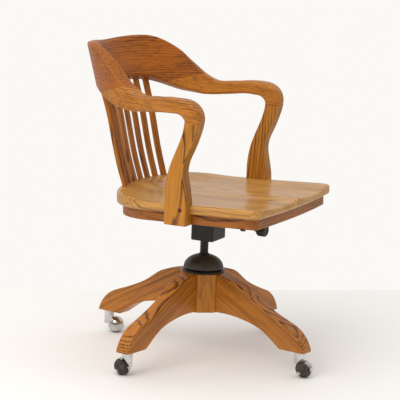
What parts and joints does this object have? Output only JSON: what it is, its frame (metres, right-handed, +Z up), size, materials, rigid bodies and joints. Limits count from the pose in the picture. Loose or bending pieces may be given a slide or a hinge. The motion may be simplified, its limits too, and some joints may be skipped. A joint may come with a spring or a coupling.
{
  "type": "swivel_armchair",
  "caption": "Oak swivel armchair with a bowed crest and arms, a slatted back, a saddled seat, a tilt control and a four-legged base on ball casters.",
  "frame": {"origin": "On the floor plane, on the vertical swivel axis of the chair.", "axes": "+Z is up, the sitter faces -Y, and the sitter's right arm is on the -X side."},
  "size_m": [0.6758, 0.6853, 0.8249],
  "materials": {
    "oak_leg": "satin lacquer",
    "oak_post": "satin lacquer",
    "oak_seat": "worn satin lacquer",
    "oak_rail": "satin lacquer",
    "oak_arm": "satin lacquer",
    "oak_slat": "satin lacquer",
    "oak_plug": "satin lacquer",
    "beech": "bare",
    "dark_iron": "satin paint",
    "steel": "plain",
    "chrome": "polished",
    "tread": "matt"
  },
  "bodies": {
    "base": {"leg_right": "oak_leg", "leg_front": "oak_leg", "leg_left": "oak_leg", "leg_back": "oak_leg", "hub_post": "oak_post", "leg_dowels": "beech", "socket_flange": "dark_iron", "flange_screws": "dark_iron", "caster_sleeves": "chrome"},
    "nut": {"height_nut": "dark_iron", "thrust_washer": "steel"},
    "column": {"spindle": "dark_iron", "control_housing": "dark_iron", "tilt_spring": "steel"},
    "tension": {"tension_rod": "dark_iron", "tension_knob": "dark_iron"},
    "cup": {"spring_cup": "steel"},
    "seat": {"seat_board": "oak_seat", "apron_front": "oak_rail", "apron_left": "oak_rail", "apron_right": "oak_rail", "apron_back": "oak_rail", "battens": "oak_rail", "seat_plate": "dark_iron", "pivot_pin": "steel", "tilt_lever": "dark_iron", "plate_screws": "dark_iron", "arm_post_left": "oak_post", "arm_post_right": "oak_post", "post_bolts": "steel", "post_plugs": "oak_plug", "arm_left": "oak_arm", "arm_right": "oak_arm", "crest_rail": "oak_arm", "slat_1": "oak_slat", "slat_2": "oak_slat", "slat_3": "oak_slat", "slat_4": "oak_slat", "slat_5": "oak_slat", "slat_6": "oak_slat", "slat_7": "oak_slat", "slat_8": "oak_slat"},
    "caster_right": {"caster_right_hood": "chrome", "caster_right_axle": "chrome"},
    "wheel_right": {"caster_right_wheel": "dark_iron", "caster_right_tyre": "tread"},
    "caster_front": {"caster_front_hood": "chrome", "caster_front_axle": "chrome"},
    "wheel_front": {"caster_front_wheel": "dark_iron", "caster_front_tyre": "tread"},
    "caster_left": {"caster_left_hood": "chrome", "caster_left_axle": "chrome"},
    "wheel_left": {"caster_left_wheel": "dark_iron", "caster_left_tyre": "tread"},
    "caster_back": {"caster_back_hood": "chrome", "caster_back_axle": "chrome"},
    "wheel_back": {"caster_back_wheel": "dark_iron", "caster_back_tyre": "tread"}
  },
  "joints": [
    {"name": "seat_swivel", "type": "hinge", "parent": "base", "child": "nut", "pos_m": [0, 0, 0.24], "axis": [0, 0, 1], "continuous": true},
    {"name": "seat_height", "type": "slide", "parent": "nut", "child": "column", "axis": [0, 0, 1], "range_m": [-0.03, 0.06]},
    {"name": "seat_tilt", "type": "hinge", "parent": "column", "child": "seat", "pos_m": [0, 0.005, 0.372], "axis": [-1, 0, 0], "range_deg": [0, 15], "stiffness_Nm_per_rad": 110, "springref_deg": -14.32, "deforming": ["tilt_spring"]},
    {"name": "tension_turn", "type": "hinge", "parent": "column", "child": "tension", "pos_m": [0, 0, 0.357], "axis": [0, -1, 0], "range_deg": [0, 720]},
    {"name": "spring_cup_slide", "type": "slide", "parent": "column", "child": "cup", "axis": [0, 1, 0], "range_m": [0, 0.003]},
    {"name": "caster_right_swivel", "type": "hinge", "parent": "base", "child": "caster_right", "pos_m": [-0.30962, 0.05795, 0.064], "axis": [0, 0, 1], "continuous": true},
    {"name": "wheel_right_roll", "type": "hinge", "parent": "caster_right", "child": "wheel_right", "pos_m": [-0.3013, 0.07502, 0.0225], "axis": [-0.8008, 0.3906, -0.454], "continuous": true},
    {"name": "caster_front_swivel", "type": "hinge", "parent": "base", "child": "caster_front", "pos_m": [-0.05795, -0.30962, 0.064], "axis": [0, 0, 1], "continuous": true},
    {"name": "wheel_front_roll", "type": "hinge", "parent": "caster_front", "child": "wheel_front", "pos_m": [-0.06506, -0.32724, 0.0225], "axis": [-0.8261, 0.3338, -0.454], "continuous": true},
    {"name": "caster_left_swivel", "type": "hinge", "parent": "base", "child": "caster_left", "pos_m": [0.30962, -0.05795, 0.064], "axis": [0, 0, 1], "continuous": true},
    {"name": "wheel_left_roll", "type": "hinge", "parent": "caster_left", "child": "wheel_left", "pos_m": [0.31765, -0.07516, 0.0225], "axis": [-0.8075, -0.3766, -0.454], "continuous": true},
    {"name": "caster_back_swivel", "type": "hinge", "parent": "base", "child": "caster_back", "pos_m": [0.05795, 0.30962, 0.064], "axis": [0, 0, 1], "continuous": true},
    {"name": "wheel_back_roll", "type": "hinge", "parent": "caster_back", "child": "wheel_back", "pos_m": [0.06597, 0.29241, 0.0225], "axis": [0.8075, 0.3766, -0.454], "continuous": true}
  ],
  "couplings": [
    {"joint": "spring_cup_slide", "follows": "tension_turn", "m_per_rad": 0.00023873}
  ]
}
